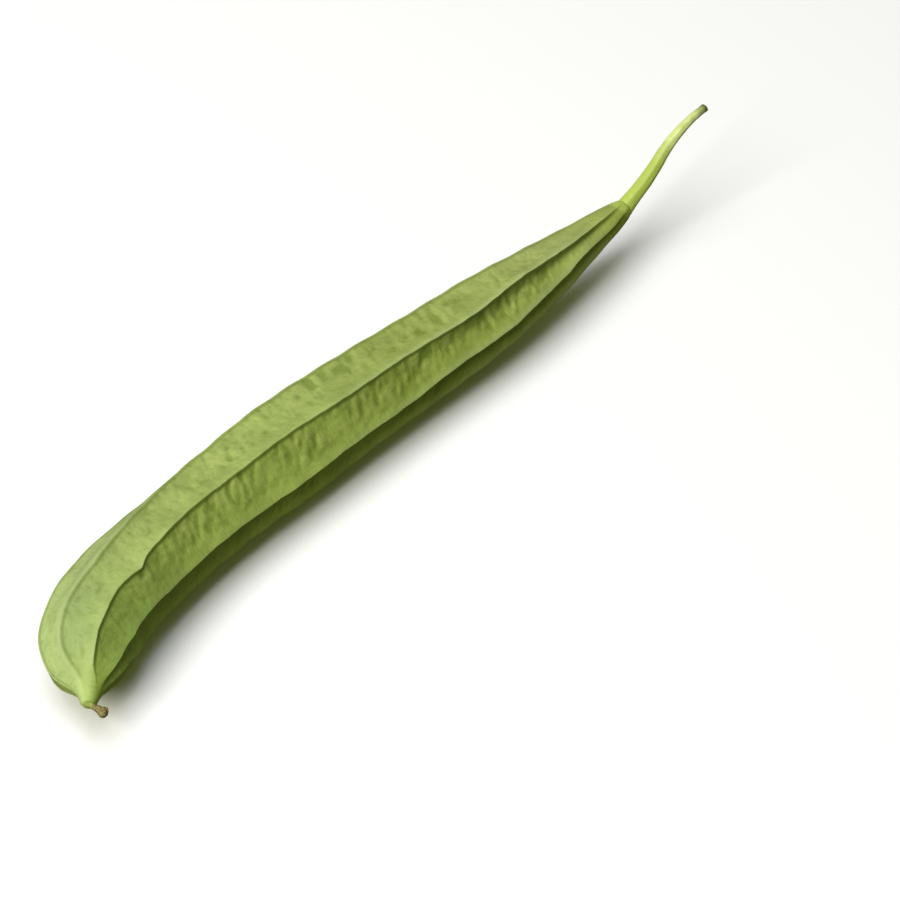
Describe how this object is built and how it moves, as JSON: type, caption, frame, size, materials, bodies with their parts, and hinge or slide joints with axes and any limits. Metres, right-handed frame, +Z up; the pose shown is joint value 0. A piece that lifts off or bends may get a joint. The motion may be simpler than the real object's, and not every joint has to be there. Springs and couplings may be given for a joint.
{
  "type": "ridge gourd",
  "caption": "Long green ridge gourd with sharp lengthwise ridges, hooked at its blossom end, tapering to a curved pale green stalk.",
  "frame": {"origin": "on the surface that the gourd lies on, at the middle of its bounding box's base", "axes": "+X along the gourd from the blossom end to the stalk, +Y towards the outside of its bend, +Z up from the surface"},
  "size_m": [0.435, 0.0642, 0.0518],
  "materials": {
    "rind": "satin waxy green skin",
    "fresh_stalk": "satin yellow green stalk",
    "dried_flower": "dry brown, matt"
  },
  "bodies": {
    "root": {"fruit": "rind", "stalk": "fresh_stalk", "dried_blossom": "dried_flower"}
  },
  "joints": []
}
